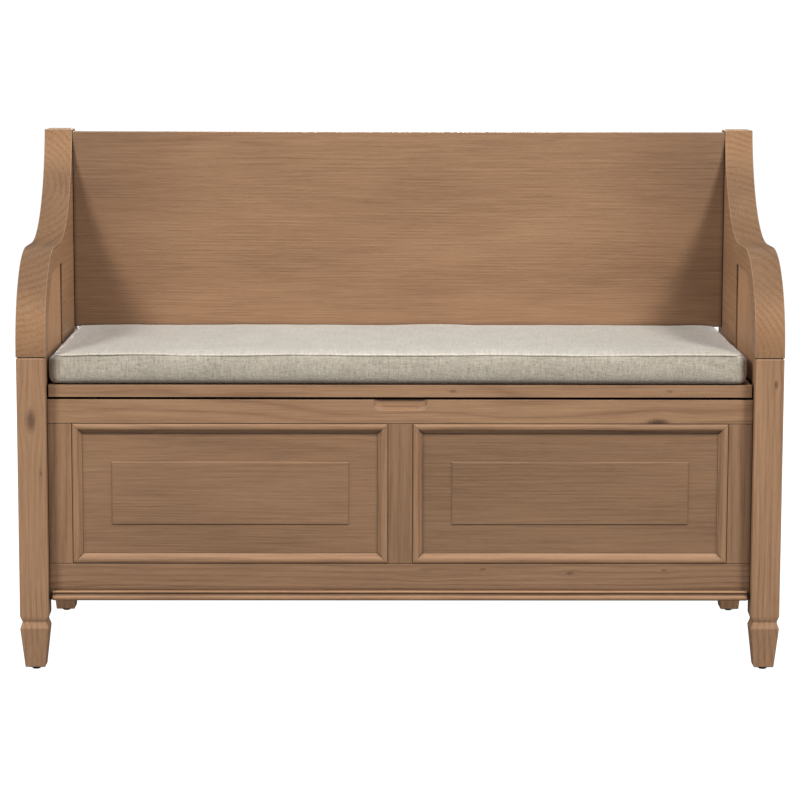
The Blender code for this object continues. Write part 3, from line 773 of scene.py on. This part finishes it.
def add_welt(cover, seams, steps, counts):
    """A narrow welt along the top seam, sewn where the top meets the sides."""
    ring = [i for i in seams if steps[i][2] == counts[2]]
    ring.sort(key=lambda i: perimeter_place(steps[i], counts))
    curve = bpy.data.curves.new("cushion_welt", "CURVE")
    curve.dimensions = "3D"
    curve.bevel_depth = WELT_RADIUS
    curve.bevel_resolution = 2
    spline = curve.splines.new("POLY")
    spline.points.add(len(ring) - 1)
    for point, i in zip(spline.points, ring):
        x, y, z = cover.data.vertices[i].co
        point.co = (x, y, z - WELT_DROP, 1.0)
    spline.use_cyclic_u = True
    welt = bpy.data.objects.new("cushion_welt", curve)
    # The welt is painted lighter: a painted highlight on the seam's ridge.
    curve.materials.append(linen("welt_linen", WELT_HIGHLIGHT))
    bpy.context.scene.collection.objects.link(welt)
    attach(welt, "cushion")


def perimeter_place(step, counts):
    """How far round the plan a boundary point of the lattice lies."""
    i, j = step[:2]
    across, deep = counts[:2]
    if j == 0:
        return i
    if i == across:
        return across + j
    if j == deep:
        return across + deep + (across - i)
    return 2 * across + deep + (deep - j)


def add_softbox(label, azimuth, elevation, power, colour):
    low, high = cad_box
    centre = (low + high) / 2
    turn, rise = math.radians(azimuth), math.radians(elevation)
    toward = Vector((math.sin(turn) * math.cos(rise), -math.cos(turn) * math.cos(rise), math.sin(rise)))
    light = bpy.data.lights.new(f"softbox_{label}", "AREA")
    light.shape = "SQUARE"
    light.size = SOFTBOX_SIZE
    light.energy = power
    light.color = colour
    lamp = bpy.data.objects.new(light.name, light)
    lamp.location = centre + toward * SOFTBOX_DISTANCE
    lamp.rotation_euler = toward.to_track_quat("Z", "Y").to_euler()
    bpy.context.scene.collection.objects.link(lamp)


def paper_material():
    """Pale paper that also glows to the eye, so that it stays white in the bench's shade."""
    material = bpy.data.materials.new("floor_paper")
    material.use_nodes = True
    material.cycles.emission_sampling = "NONE"
    nodes, links = material.node_tree.nodes, material.node_tree.links
    nodes.remove(nodes["Principled BSDF"])
    paper = nodes.new("ShaderNodeBsdfDiffuse")
    paper.inputs["Color"].default_value = (*FLOOR_COLOUR, 1.0)
    glow = nodes.new("ShaderNodeEmission")
    links.new(nodes.new("ShaderNodeLightPath").outputs["Is Camera Ray"], glow.inputs["Strength"])
    both = nodes.new("ShaderNodeAddShader")
    links.new(paper.outputs[0], both.inputs[0])
    links.new(glow.outputs[0], both.inputs[1])
    links.new(both.outputs[0], nodes["Material Output"].inputs["Surface"])
    return material


def make_floor():
    """A pale paper sweep, plain and level, that meets the sky far behind the bench."""
    half = FLOOR_HALF
    corners = [(-half, -half, 0), (half, -half, 0), (half, half, 0), (-half, half, 0)]
    mesh = bpy.data.meshes.new("floor")
    mesh.from_pydata(corners, [], [(0, 1, 2, 3)])
    mesh.materials.append(paper_material())
    floor = bpy.data.objects.new("floor", mesh)
    floor.location.z = cad_box[0].z
    bpy.context.scene.collection.objects.link(floor)


def make_sky():
    world = bpy.data.worlds.new("sky")
    world.use_nodes = True
    nodes, links = world.node_tree.nodes, world.node_tree.links
    glow = nodes.new("ShaderNodeMix")
    glow.data_type = "RGBA"
    links.new(nodes.new("ShaderNodeLightPath").outputs["Is Camera Ray"], glow.inputs["Factor"])
    glow.inputs["A"].default_value = (*SKY_GLOW, 1.0)
    glow.inputs["B"].default_value = (*SKY_SEEN, 1.0)
    links.new(glow.outputs["Result"], nodes["Background"].inputs["Color"])
    bpy.context.scene.world = world


def make_studio():
    bpy.context.scene.view_settings.view_transform = "Standard"
    for label, setting in SOFTBOXES.items():
        add_softbox(label, *setting)
    make_sky()
    make_floor()


def make_camera():
    lens = bpy.data.cameras.new("camera")
    lens.lens = CAMERA_LENS
    lens.sensor_width = SENSOR_WIDTH
    camera = bpy.data.objects.new("camera", lens)
    camera.location = CAMERA_PLACE
    turn = Euler((math.radians(90 - CAMERA_PITCH), 0, math.radians(-CAMERA_YAW)))
    camera.rotation_euler = (
        turn.to_matrix() @ Euler((0, 0, math.radians(CAMERA_ROLL))).to_matrix()
    ).to_euler()
    bpy.context.scene.collection.objects.link(camera)
    bpy.context.scene.camera = camera


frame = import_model()
cad_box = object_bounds()
make_wood()
make_hardware()
make_cushion()
make_studio()
make_camera()
